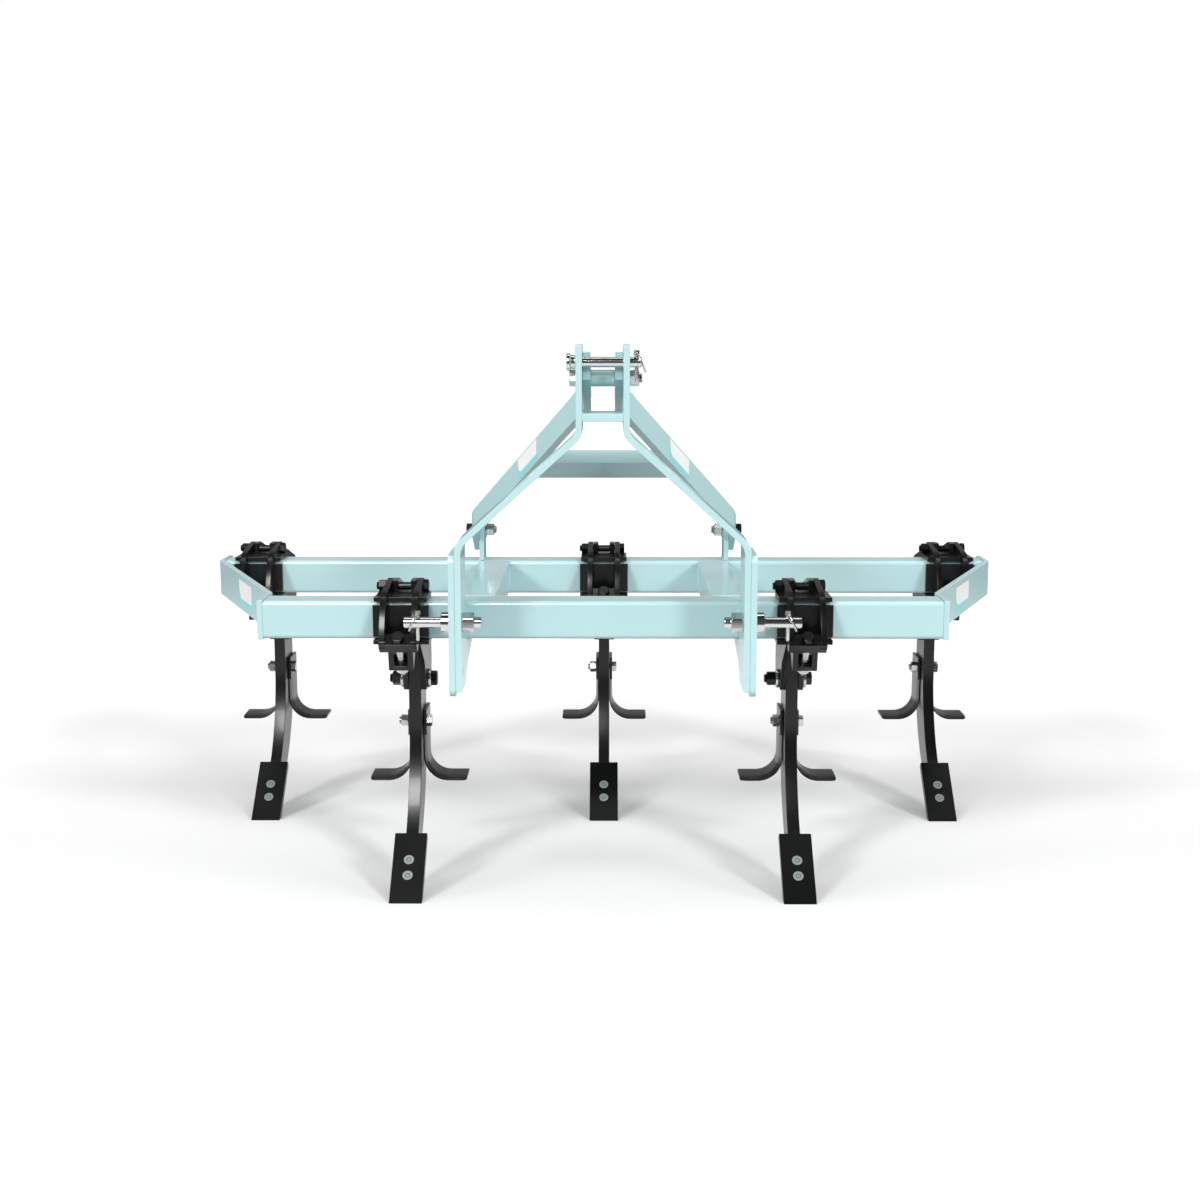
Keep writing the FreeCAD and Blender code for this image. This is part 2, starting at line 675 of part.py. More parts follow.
def brace_hardware():
    """The bolts of the braces and the spacer between their upper ends."""
    keep(cross_bolt("brace_bolt_top", size.braceBolt, -mastOut, mastOut,
                    braceTopY, braceBoltHigh), "brace_bolt_top")
    reach = braceInX - size.seat
    outer = rod("brace_spacer_outer", size.braceBolt + size.spacerWall * 2, -reach,
                braceTopY, braceBoltHigh, reach * 2)
    inner = rod("brace_spacer_inner", size.braceBolt + 0.6, -reach,
                braceTopY, braceBoltHigh, reach * 2)
    keep(cut("brace_spacer", outer, inner), "brace_spacer")
    lug = lugFace - size.lugPlate
    out = braceOutX + size.braceBar
    for side, sign in (("left", -1), ("right", 1)):
        label = "brace_bolt_" + side
        keep(cross_bolt(label, size.braceBolt, out * sign, lug * sign, braceLowY, braceBoltLow,
                        size.braceWasher), label)


def hitch_pins():
    """The lower pins with their collars and nuts, and the top link pin."""
    shoulder = size.lowerPinSpan / 2
    d = size.lowerPin
    for side, sign in (("left", -1), ("right", 1)):
        label = "lower_pin_" + side
        things = []
        for name, make, width, inner, outer in (
                ("shaft", rod, d, hitchFace - size.lowerPinTail, shoulder + size.lowerPinLength),
                ("collar", rod, d * 1.9, hitchOut, shoulder),
                ("nut", hexagon, d * 1.6, hitchFace - size.lowerPinNut, hitchFace)):
            things.append(span(make, label + "_" + name, width, inner * sign, outer * sign,
                               pinY, lowerPinZ))
        keep(fuse(label, things), label)
    neck = -mastOut - size.topPinNeck
    head = neck - size.topPinHead
    pin = fuse("top_pin", [
        span(rod, "top_pin_shaft", size.topPin, head, mastOut + size.topPinTail, pinY, topPinZ),
        span(rod, "top_pin_neck", size.topPin * 1.35, neck, -mastOut, pinY, topPinZ),
        span(rod, "top_pin_head", size.topPin * 1.7, head, neck, pinY, topPinZ),
    ])
    keep(pin, "top_pin")


# The tines: label, place across in pitches, row
TINES = [
    ("front_left", -1, 0),
    ("front_right", 1, 0),
    ("rear_left", -2, 1),
    ("rear_middle", 0, 1),
    ("rear_right", 2, 1),
]


# The clamp bolt lies over the rear edge of the bar, the shank bolts in the holder's plates.
crown = barTop + size.seat + size.clampTop
clampBoltZ = crown + size.clampBoltRise
lowBolt = (size.shankPlace + size.holderBoltLowBack, size.barHeight - size.holderBoltDrop)
highBolt = (size.shankPlace + size.holderBoltHighBack, size.barHeight + size.holderBoltRise)
wingBoltAt = (size.wingFront + size.wingBoltBack, shankBend - size.wingBoltDrop)


def holder_holes():
    return [(y, z, size.holderBolt + 0.6) for y, z in (lowBolt, highBolt)]


def clamp_front(tine, x, row):
    """Front half of the clamp: face plate, top plate, two ribs and the lip of the slant bolt."""
    label = "clamp_front_" + tine
    w = size.clampWidth
    p = size.clampPlate
    seat = size.seat
    low = size.barHeight
    face = box(label + "_face", -w / 2, -seat - p, low + size.clampInset, w, p,
               size.tubeSize - size.clampInset * 2)
    top = box(label + "_top", -size.clampTopWidth / 2, -seat - p, barTop + seat,
              size.clampTopWidth, size.tubeSize + p, size.clampTop)
    boltY = size.tubeSize
    ribs = []
    for side, sign in (("left", -1), ("right", 1)):
        start = size.clampRibPlace if sign > 0 else -(size.clampRibPlace + size.clampRib)
        ribs.append(side_piece(label + "_rib_" + side, [
            (boltY + size.ribTail, crown + size.ribHigh), (-size.seat, crown + size.ribLow),
            (-size.ribShoulder, crown + size.ribShoulderHeight),
            (-size.ribNose, low, size.ribHollow), (-size.ribNose, low - size.ribDrop / 2),
            (-size.ribToe, low - size.ribDrop), (-p - seat, low + size.clampInset),
            (-seat, low + size.clampInset), (-seat, barTop + seat),
            (boltY - seat, barTop + seat), (boltY - seat, crown + seat),
            (boltY + size.ribTail, crown + seat),
        ], start, size.clampRib, [(boltY, clampBoltZ, size.clampBolt + 0.6)]))
    start, end, half = size.lipStart, size.lipStart + size.lipLength, size.lipWidth / 2
    lip = side_piece(label + "_lip", [
        slant(start, -half), slant(end, -half), slant(end, half), slant(start, half),
    ], -(size.clampRibPlace + size.clampRib), (size.clampRibPlace + size.clampRib) * 2)
    whole = fuse(label + "_plates", [face, top] + ribs + [lip])
    hole = slant_rod(label + "_hole", size.clampBolt + 0.6, 0, size.slantGrip)
    keep(cut(label, whole, hole), label, x, row)


def slant(along, across):
    """A point (y, z) by its place along and across the clamp's slanting front bolt."""
    lean = size.slantAngle
    y = along * sine(lean) + across * cosine(lean) - size.slantReach
    z = size.barHeight + size.slantRise - along * cosine(lean) + across * sine(lean)
    return y, z


def slant_rod(name, width, start, length, hexagonal=False):
    """A rod or hexagon on the axis of the slanting bolt, from start on."""
    make = hexagon if hexagonal else rod
    y, z = slant(start, 0)
    thing = make(name, width, 0, y, z, length, (FreeCAD.Vector(1, 0, 0), 180))
    bind(thing, "Placement.Rotation.Angle", size.slantAngle + 180)
    return thing


def clamp_rear(tine, x, row):
    """Rear half: rear and bottom plates, the plates that hold the shank, and the bolt's yoke."""
    label = "clamp_rear_" + tine
    w = size.clampWidth
    p = size.clampPlate
    seat = size.seat
    low = size.barHeight
    back = size.tubeSize
    rear = box(label + "_back", -w / 2, back + seat, low + size.clampInset, w, p,
               size.tubeSize - size.clampInset * 2)
    under = box(label + "_under", -w / 2, -p, low - seat - p, w, back + p * 2, p)
    inner = size.shankThick / 2 + seat
    grip = size.slantGrip
    half = size.yokeWidth / 2
    front = size.shankPlace
    foot = low - size.holderDrop
    rearEdge = shankBack + size.holderBack
    pieces = [rear, under]
    for side, sign in (("left", -1), ("right", 1)):
        start = inner if sign > 0 else -(inner + size.holderPlate)
        pieces.append(side_piece(label + "_holder_" + side, [
            (back + size.ribTail, crown + size.ribHigh), (back - size.clampBolt, crown + size.ribHigh),
            (back - size.clampBolt, crown + seat), (back + seat, crown + seat),
            (back + seat, low - seat - p), (front - size.holderBelly, low - size.holderBellyDrop),
            (front + size.holderToe, foot), (rearEdge - size.holderPlate, foot),
            (rearEdge, low - size.holderBackLow), (rearEdge, low + size.holderBackHigh),
        ], start, size.holderPlate, [(back, clampBoltZ, size.clampBolt + 0.6)] + holder_holes()))
        pieces.append(side_piece(label + "_yoke_" + side, [
            (-size.yokeFront, low - p), slant(grip, -half), slant(grip, half),
            (size.yokeBack, low - p),
        ], start, size.holderPlate))
    pieces.append(side_piece(label + "_anvil", [
        slant(grip - size.anvil, -half), slant(grip, -half),
        slant(grip, half), slant(grip - size.anvil, half),
    ], -inner, inner * 2))
    hole = slant_rod(label + "_hole", size.clampBolt + 0.6, 0, grip + size.anvil)
    keep(cut(label, fuse(label + "_plates", pieces), hole), label, x, row)


def bend_radius(across, down):
    """Radius of an arc that starts straight down and ends across and down from there."""
    return (across * across + down * down) / (across * 2)


def shank(tine, x, row):
    """The bent shank, with its foot behind the point."""
    front = size.shankPlace
    slope = size.pointAngle
    heel = size.pointThick + size.seat
    topY = size.pointLength * cosine(slope) - size.pointTip + heel * sine(slope)
    topZ = size.pointLength * sine(slope) - heel * cosine(slope)
    footY = topY - size.footLength * cosine(slope)
    footZ = topZ - size.footLength * sine(slope)
    joinY = topY + size.footRise * cosine(slope)
    joinZ = topZ + size.footRise * sine(slope)
    heelY, heelZ = shankBack - size.heelReach, size.heelHeight
    top = size.barHeight + size.shankRise
    holes = holder_holes() + [wingBoltAt + (size.wingBolt + 0.6,)]
    keep(side_piece("shank_" + tine, [
        (front, top), (front, shankBend),
        (joinY, joinZ, -bend_radius(front - joinY, shankBend - joinZ)),
        (footY, footZ), (footY + size.soleLength, footZ + size.soleRise), (heelY, heelZ),
        (shankBack, shankBend, bend_radius(shankBack - heelY, shankBend - heelZ)),
        (shankBack, top),
    ], -size.shankThick / 2, size.shankThick, holes), "shank_" + tine, x, row)


def point(tine, x, row):
    """The flat reversible point, cut level where it meets the ground."""
    slope = size.pointAngle
    tipY = -size.pointTip
    topY = tipY + size.pointLength * cosine(slope)
    topZ = size.pointLength * sine(slope)
    t = size.pointThick
    keep(side_piece("point_" + tine, [
        (tipY, size.seat * 0), (tipY + t / sine(slope), size.seat * 0),
        (topY + t * sine(slope), topZ - t * cosine(slope)), (topY, topZ),
    ], -size.pointWidth / 2, size.pointWidth), "point_" + tine, x, row)


def wings(tine, x, row):
    """A pair of bent plates on the sides of the shank that turn out to level wings."""
    inner = size.shankThick / 2 + size.seat
    t = size.wingThick
    r = size.wingRadius
    top, level = shankBend + size.wingRise, shankBend - size.wingDrop
    tip = size.wingSpan / 2
    front, back = size.wingFront, size.wingFront + size.wingDepth
    round_in = size.wingCorner
    plan = top_piece("wings_" + tine + "_plan", [
        (tip, back), (-tip, back), (-tip, front + round_in),
        (round_in - tip, front, round_in), (tip - round_in, front),
        (tip, front + round_in, round_in),
    ], level - t * 2, top)
    pair = []
    for side, sign in (("left", -1), ("right", 1)):
        label = "wing_" + tine + "_" + side
        bent = front_piece(label + "_bent", [
            (inner * sign, top), (inner * sign, level + r),
            ((inner + t + r) * sign, level - t, (r + t) * sign),
            (tip * sign, level - t), (tip * sign, level), ((inner + t + r) * sign, level),
            ((inner + t) * sign, level + r, r * -sign),
            ((inner + t) * sign, top),
        ], front, size.wingDepth)
        sharpen(bent, level, front)
        square = box(label + "_square", inner if sign > 0 else -inner - t, front,
                     top - size.wingSquare, t, size.wingBevel + t, size.wingSquare)
        thing = doc.addObject("Part::Common", label + "_cut")
        thing.Base = fuse(label + "_both", [bent, square])
        thing.Tool = plan
        hole = rod(label + "_hole", size.wingBolt + 0.6, -tip, wingBoltAt[0], wingBoltAt[1], tip * 2)
        pair.append(cut(label, thing, hole))
    thing = doc.addObject("Part::Compound", "wings_" + tine)
    thing.Links = pair
    keep(thing, "wings_" + tine, x, row)


def sharpen(body, level, front):
    """Bevels the upper edge of the leading face along the level part and the bend."""
    doc.recompute()
    base = body.Tip
    names = []
    for index, edge in enumerate(base.Shape.Edges, start=1):
        ends = [vertex.Point for vertex in edge.Vertexes]
        if max(abs(p[1] - number_of(front)) for p in ends) > 0.1:
            continue
        straight = isinstance(edge.Curve, Part.Line)
        if straight and max(abs(p[2] - number_of(level)) for p in ends) < 0.1:
            names.append("Edge" + str(index))
        if not straight and abs(edge.Curve.Radius - number_of(size.wingRadius)) < 0.1:
            names.append("Edge" + str(index))
    feature = body.newObject("PartDesign::Chamfer", body.Label + "_bevel")
    feature.Base = (base, names)
    feature.ChamferType = "Two distances"
    feature.FlipDirection = True
    bind(feature, "Size", size.wingEdge)
    bind(feature, "Size2", size.wingBevel)
    body.Tip = feature


def tine_bolts(tine, x, row):
    """The bolts of one tine: clamp, shank and wings."""
    label = "tine_bolts_" + tine
    rib = size.clampRibPlace + size.clampRib
    side = size.shankThick / 2 + size.seat
    holder = side + size.holderPlate
    wing = side + size.wingThick
    grip = size.slantGrip
    slanting = fuse(label + "_slant", [
        slant_rod(label + "_slant_shaft", size.clampBolt, size.lipStart / 2,
                  grip + size.clampBolt * 0.9),
        slant_rod(label + "_slant_head", size.clampBolt * 1.5, size.seat * 0,
                  size.lipStart - size.seat, True),
        slant_rod(label + "_slant_nut", size.clampBolt * 1.5, grip + size.seat,
                  size.clampBolt * 1.1, True),
    ])
    thing = doc.addObject("Part::Compound", label)
    thing.Links = [
        cross_bolt(label + "_clamp", size.clampBolt, rib, -rib, size.tubeSize, clampBoltZ),
        cross_bolt(label + "_low", size.holderBolt, holder, -holder, lowBolt[0], lowBolt[1],
                   size.holderWasher),
        cross_bolt(label + "_high", size.holderBolt, holder, -holder, highBolt[0], highBolt[1],
                   size.holderWasher),
        cross_bolt(label + "_wing", size.wingBolt, wing, -wing, wingBoltAt[0], wingBoltAt[1]),
        slanting,
    ]
    keep(thing, label, x, row)


frame_bars()
side_plates()
beams()
mast_bars()
hitch_plates()
mast_tie()
braces()
brace_tie()
brace_lugs()
brace_hardware()
hitch_pins()
for tine, place_across, row in TINES:
    across = size.tinePitch * place_across
    for make in (clamp_front, clamp_rear, shank, point, wings, tine_bolts):
        make(tine, across, row)

doc.recompute()
for thing in doc.Objects:
    if "Invalid" in thing.State or "Error" in thing.State:
        raise RuntimeError(thing.Label + " did not build")
for thing in nodes:
    if thing.Shape.isNull() or not thing.Shape.isValid():
        raise RuntimeError(thing.Label + " has no valid shape")

os.makedirs("parts", exist_ok=True)
for thing in nodes:
    thing.Shape.exportStep("parts/" + thing.Label + ".step")
print(len(nodes), "sub-parts written")
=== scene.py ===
import bpy
import bmesh
from math import cos, pi, radians, sin
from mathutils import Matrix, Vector


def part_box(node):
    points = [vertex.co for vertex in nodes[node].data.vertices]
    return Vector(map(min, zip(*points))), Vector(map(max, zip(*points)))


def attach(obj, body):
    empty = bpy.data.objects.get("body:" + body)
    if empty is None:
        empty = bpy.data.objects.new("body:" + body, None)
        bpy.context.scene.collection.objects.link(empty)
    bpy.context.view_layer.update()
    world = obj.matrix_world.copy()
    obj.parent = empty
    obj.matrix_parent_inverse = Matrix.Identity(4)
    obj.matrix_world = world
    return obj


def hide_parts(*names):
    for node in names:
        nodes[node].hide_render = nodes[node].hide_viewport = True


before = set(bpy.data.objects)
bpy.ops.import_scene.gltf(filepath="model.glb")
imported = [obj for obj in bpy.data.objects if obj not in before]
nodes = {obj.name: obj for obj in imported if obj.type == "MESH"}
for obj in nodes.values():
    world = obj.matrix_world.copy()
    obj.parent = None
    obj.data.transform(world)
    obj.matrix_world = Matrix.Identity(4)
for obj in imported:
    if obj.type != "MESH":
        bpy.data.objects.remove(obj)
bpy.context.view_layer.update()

print("frame loaded:", len(nodes), "nodes")


def newObject(name, data):
    item = bpy.data.objects.new(name, data)
    bpy.context.collection.objects.link(item)
    return item


# camera, floor and light

view = {"place": (0.0162, -4.763, 1.521), "down": 9.42, "turn": 0.318, "lens": 50.0,
        "sensor": 36.0}

camData = bpy.data.cameras.new("camera")
camData.lens = view["lens"]
camData.sensor_width = view["sensor"]
cam = newObject("camera", camData)
cam.location = view["place"]
cam.rotation_euler = (radians(90 - view["down"]), 0, radians(view["turn"]))
bpy.context.scene.camera = cam


def linear(text):
    # sRGB hex to the linear colour that the shader sockets take
    parts = [int(text[i:i + 2], 16) / 255 for i in (0, 2, 4)]
    return [c / 12.92 if c <= 0.04045 else ((c + 0.055) / 1.055) ** 2.4 for c in parts] + [1.0]


def addNode(tree, kind, links=None, **settings):
    # a key that isn't a property of the node is the name of an input
    node = tree.nodes.new(kind)
    for key, value in settings.items():
        if hasattr(node, key):
            setattr(node, key, value)
        else:
            node.inputs[key.replace("_", " ")].default_value = value
    for key, socket in (links or {}).items():
        tree.links.new(socket, node.inputs[key])
    return node


def mixColours(tree, share, first, second):
    # each colour is sRGB hex or the socket that gives it
    node = addNode(tree, "ShaderNodeMix", {"Factor": share}, data_type="RGBA")
    for slot, colour in ((6, first), (7, second)):
        if isinstance(colour, str):
            node.inputs[slot].default_value = linear(colour)
        else:
            tree.links.new(colour, node.inputs[slot])
    return node.outputs[2]


def fineBump(tree, shader, where, noise, bump):
    grain = addNode(tree, "ShaderNodeTexNoise", {"Vector": where}, **noise)
    waves = addNode(tree, "ShaderNodeBump", {"Height": grain.outputs["Fac"]}, **bump)
    tree.links.new(waves.outputs["Normal"], shader.inputs["Normal"])


def newMaterial(name, **settings):
    mat = bpy.data.materials.new(name)
    mat.use_nodes = True
    shader = mat.node_tree.nodes["Principled BSDF"]
    for key, value in settings.items():
        shader.inputs[key.replace("_", " ")].default_value = value
    return mat, mat.node_tree, shader


studio = {
    # the paper, its colour in reflections far away, and the glow that fades it into the backdrop
    "floor": "e4e4e4", "shade": "404040", "glow": "808080", "near": 2.4, "far": 6.0, "size": 60,
    "paper": {"Scale": 400.0}, "paperBump": {"Strength": 0.02},
    "backdrop": 1.0,
    # light of the room by height: (sine of the height above the horizon, strength)
    "room": [(-1.0, 0.42), (-0.04, 0.62), (0.04, 0.84), (0.60, 0.32), (1.0, 0.25)],
    # share of that light that a glossy skin shows: of the dark room in front, of the backdrop,
    # and the directions (along Y) between which the one passes into the other
    "mirrored": (0.10, 0.6), "between": (0.2, 0.75),
    "suns": [
        # name, height above the horizon, turn from straight ahead, strength, softness (degrees)
        ("keyLeft", 27, -40, 1.5, 11),
        ("keyRight", 27, 40, 1.5, 11),
        ("sideLeft", 22, -82, 0.9, 20),
        ("sideRight", 22, 82, 0.9, 20),
        ("softAbove", 66, 0, 1.25, 80),
    ],
    "boxes": [
        # name, place, what it faces, width, height, power; seen in reflections only
        ("softFront", (-1.3, -4.1, 3.6), (-0.4, -0.4, 0.3), 1.9, 1.9, 255),
        ("stripAbove", (0, 0.1, 4.6), (0, 0.1, 0), 4.5, 0.35, 30),
    ],
}


def studioPaper():
    # far away the paper fades into the white backdrop, and in reflections into the dark room
    mat, tree, shader = newMaterial("studioPaper", Roughness=0.9, Specular_IOR_Level=0.0,
                                    Emission_Color=linear(studio["glow"]))
    where = addNode(tree, "ShaderNodeTexCoord").outputs["Object"]
    fineBump(tree, shader, where, studio["paper"], studio["paperBump"])
    away = addNode(tree, "ShaderNodeVectorMath", {0: where}, operation="LENGTH")
    fade = addNode(tree, "ShaderNodeMapRange", {"Value": away.outputs["Value"]},
                   From_Min=studio["near"], From_Max=studio["far"]).outputs["Result"]
    seen = addNode(tree, "ShaderNodeLightPath").outputs["Is Camera Ray"]
    paper = mixColours(tree, fade, studio["floor"], studio["shade"])
    tree.links.new(mixColours(tree, seen, paper, studio["floor"]), shader.inputs["Base Color"])
    glow = addNode(tree, "ShaderNodeMath", {0: fade, 1: seen}, operation="MULTIPLY")
    tree.links.new(glow.outputs["Value"], shader.inputs["Emission Strength"])
    return mat


bpy.ops.mesh.primitive_plane_add(size=studio["size"])
floor = bpy.context.object
floor.name = "floor"
floor.data.materials.append(studioPaper())
floor.visible_diffuse = False    # the room's own light stands in for the paper's bounce


def lightRoom():
    # the camera sees the white backdrop; everything else is lit by the room
    world = bpy.data.worlds.new("studio")
    bpy.context.scene.world = world
    world.use_nodes = True
    tree = world.node_tree
    sky = tree.nodes["Background"]
    where = addNode(tree, "ShaderNodeTexCoord")
    way = addNode(tree, "ShaderNodeSeparateXYZ", {"Vector": where.outputs["Generated"]})
    level = addNode(tree, "ShaderNodeMapRange", {"Value": way.outputs["Z"]}, From_Min=-1.0)
    room = addNode(tree, "ShaderNodeValToRGB", {"Fac": level.outputs["Result"]})
    ramp = room.color_ramp.elements
    for number, (sine, strength) in enumerate(studio["room"]):
        at = (sine + 1) / 2
        stop = ramp[number] if number < 2 else ramp.new(at)
        stop.position = at
        stop.color = (strength, strength, strength, 1)
    tree.links.new(room.outputs["Color"], sky.inputs["Color"])
    backdrop = addNode(tree, "ShaderNodeBackground", Color=linear("ffffff"),
                       Strength=studio["backdrop"])
    ray = addNode(tree, "ShaderNodeLightPath")
    dark, light = studio["mirrored"]
    start, end = studio["between"]
    behind = addNode(tree, "ShaderNodeMapRange", {"Value": way.outputs["Y"]},
                     From_Min=start, From_Max=end, To_Min=dark, To_Max=light)
    mirrored = addNode(tree, "ShaderNodeMapRange", {"Value": ray.outputs["Is Glossy Ray"],
                                                    "To Max": behind.outputs["Result"]}, To_Min=1.0)
    tree.links.new(mirrored.outputs["Result"], sky.inputs["Strength"])
    both = addNode(tree, "ShaderNodeMixShader",
                   {0: ray.outputs["Is Camera Ray"], 1: sky.outputs[0], 2: backdrop.outputs[0]})
    tree.links.new(both.outputs[0], tree.nodes["World Output"].inputs["Surface"])


lightRoom()

for name, height, turn, power, soft in studio["suns"]:
    data = bpy.data.lights.new(name, "SUN")
    data.energy = power
    data.angle = radians(soft)
    lamp = newObject(name, data)
    up, side = radians(height), radians(turn)
    toLamp = Vector((sin(side) * cos(up), -cos(side) * cos(up), sin(up)))
    lamp.rotation_euler = toLamp.to_track_quat("Z", "Y").to_euler()
    lamp.visible_glossy = False

for name, place, aim, across, deep, power in studio["boxes"]:
    data = bpy.data.lights.new(name, "AREA")
    data.shape = "RECTANGLE"
    data.size = across
    data.size_y = deep
    data.energy = power
    lamp = newObject(name, data)
    lamp.location = place
    lamp.rotation_euler = (Vector(aim) - Vector(place)).to_track_quat("-Z", "Y").to_euler()
    lamp.visible_diffuse = False

bpy.context.scene.view_settings.view_transform = "Standard"
print("studio set")


# finishes

# the peel's waves are about 4 mm long, drawn a little coarser than real so that they show
paint = {"cloud": {"Scale": 5.0, "Detail": 3.0}, "spread": 0.04, "skin": 0.06,
         "peel": {"Scale": 180.0, "Detail": 1.0}, "waves": {"Strength": 0.03, "Distance": 0.001}}
plating = {"detail": 4.0, "low": 0.7, "high": 1.3}


def unevenGloss(tree, shader, noise, low, high):
    # gives the place on the object and the noise, for what else follows them
    where = addNode(tree, "ShaderNodeTexCoord").outputs["Object"]
    cloud = addNode(tree, "ShaderNodeTexNoise", {"Vector": where}, **noise).outputs["Fac"]
    sheen = addNode(tree, "ShaderNodeMapRange", {"Value": cloud}, To_Min=low, To_Max=high)
    tree.links.new(sheen.outputs["Result"], shader.inputs["Roughness"])
    return where, cloud


def enamel(name, dark, light, rough, coat, specular=0.5):
    # sprayed and stoved paint: an even colour, a fine orange peel and a glossy skin
    mat, tree, shader = newMaterial(name, Coat_Weight=coat, Coat_Roughness=paint["skin"],
                                    Specular_IOR_Level=specular)
    where, cloud = unevenGloss(tree, shader, paint["cloud"], rough - paint["spread"],
                               rough + paint["spread"])
    tree.links.new(mixColours(tree, cloud, dark, light), shader.inputs["Base Color"])
    fineBump(tree, shader, where, paint["peel"], paint["waves"])
    return mat


def plated(name, colour, rough, grain, metallic=1.0):
    # plated or bare steel, slightly uneven in its gloss
    mat, tree, shader = newMaterial(name, Base_Color=linear(colour), Metallic=metallic)
    unevenGloss(tree, shader, {"Scale": grain, "Detail": plating["detail"]},
                rough * plating["low"], rough * plating["high"])
    return mat


turquoise = enamel("turquoiseEnamel", "abcdcf", "b1d1d3", 0.30, 0.5)
black = enamel("blackEnamel", "050606", "090a0a", 0.30, 0.1, 0.42)
zinc = plated("brightZinc", "d2d2cf", 0.26, 60.0)       # electroplated zinc on bolts and clips
chrome = plated("hardChrome", "dcdcdc", 0.12, 30.0)     # turned and polished pins
phosphate = plated("blackPhosphate", "3a3b3c", 0.38, 90.0)    # dark bolts, oiled
ground = plated("groundSteel", "8d9695", 0.42, 70.0, 0.35)    # heads worn dull by the soil
labelWhite = enamel("vinylWhite", "e6e6e6", "ececec", 0.35, 0.2)
labelBlue = enamel("vinylTurquoise", "82cfd0", "8ad4d5", 0.35, 0.2)

tineParts = ("clamp_", "shank_", "point_", "wings_")


def finishOf(name):
    if name.startswith(tineParts):
        return black, "black_paint"
    if name.startswith(("tine_bolts", "brace_bolt")):
        return zinc, "zinc"
    if name.startswith(("lower_pin", "top_pin")):
        return chrome, "zinc"
    return turquoise, "frame_paint"


for name, node in nodes.items():
    node.data.materials.clear()
    node.data.materials.append(finishOf(name)[0])
print("finishes set")


# pieces

def makePiece(name, mesh, finish, replaced=()):
    piece = newObject(name, mesh)
    mesh.materials.clear()
    mesh.materials.append(finish)
    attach(piece, "root")
    if replaced:
        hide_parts(*replaced)


def meshOf(name, work):
    mesh = bpy.data.meshes.new(name)
    work.to_mesh(mesh)
    work.free()
    return mesh


def smoothMesh(name, work, sharp):
    # normals outward, smooth except over edges of more than this many degrees
    bmesh.ops.recalc_face_normals(work, faces=work.faces)
    mesh = meshOf(name, work)
    mesh.shade_smooth()
    mesh.set_sharp_from_angle(angle=radians(sharp))
    return mesh


def plainMesh(holder, name):
    # the evaluated object as a plain mesh; the holder and its modifiers go
    graph = bpy.context.evaluated_depsgraph_get()
    mesh = bpy.data.meshes.new_from_object(holder.evaluated_get(graph))
    mesh.name = name
    bpy.data.objects.remove(holder)
    return mesh


# widths in metres; solids are merged within a distance, and flattened and bevelled by angle
edges = {"plate": 0.0016, "tine": 0.0014, "pin": 0.0022,
         "merge": 1e-5, "flat": 0.5, "sharp": 35, "steps": 2, "evenness": 100}


def softened(name, width):
    # a copy of a solid whose edges are broken, as ground and painted steel has them
    work = bmesh.new()
    work.from_mesh(nodes[name].data)
    bmesh.ops.remove_doubles(work, verts=work.verts, dist=edges["merge"])
    bmesh.ops.dissolve_limit(work, angle_limit=radians(edges["flat"]), verts=work.verts,
                             edges=work.edges)
    mesh = meshOf(name + "_edges", work)
    mesh.shade_smooth()
    holder = newObject("holder", mesh)
    bevel = holder.modifiers.new("edges", "BEVEL")
    bevel.width = width
    bevel.segments = edges["steps"]
    bevel.limit_method = "ANGLE"
    bevel.angle_limit = radians(edges["sharp"])
    bevel.use_clamp_overlap = False
    even = holder.modifiers.new("even", "WEIGHTED_NORMAL")
    even.mode = "FACE_AREA"
    even.weight = edges["evenness"]
    return plainMesh(holder, name + "_edges")


for name in list(nodes):
    if "bolt" in name:
        continue
    kind = "tine" if name.startswith(tineParts) else "pin" if "pin" in name else "plate"
    finish, slot = finishOf(name)
    makePiece(name + "_edges", softened(name, edges[kind]), finish, [name])
print("edges broken on the plates")


# places taken from the frame, in metres

def corner(name, high, axis):
    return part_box(name)[high][axis]


def middleOf(name, axis):
    return (corner(name, 0, axis) + corner(name, 1, axis)) / 2


barLow, barTop = corner("front_bar", 0, 2), corner("front_bar", 1, 2)
rowFront = {row: corner(row + "_bar", 0, 1) for row in ("front", "rear")}
tines = ["front_left", "front_right", "rear_left", "rear_middle", "rear_right"]
tineX = {t: middleOf("shank_" + t, 0) for t in tines}
tineY = {t: rowFront[t.split("_")[0]] for t in tines}
sides = (("left", -1), ("right", 1))


# bolts, nuts and washers: shapes for a bolt one across and one long

hexagon = {"sides": 48, "flat": 0.75, "rim": 0.71,
           # slope of the turned corners (30 degrees), for a nut or head 0.8 high
           "slope": 0.577, "height": 0.8}
shapeSharp = 28


def joinRings(work, rings, closed):
    for low, high in zip(rings, rings[1:]):
        for i in range(len(low)):
            j = (i + 1) % len(low)
            work.faces.new((low[i], low[j], high[j], high[i]))
    if closed:
        work.faces.new(list(reversed(rings[0])))
        work.faces.new(rings[-1])


def turnedRings(work, profile, count, x=0.0, y=0.0):
    return [[work.verts.new((x + r * cos(2 * pi * i / count), y + r * sin(2 * pi * i / count), z))
             for i in range(count)] for r, z in profile]


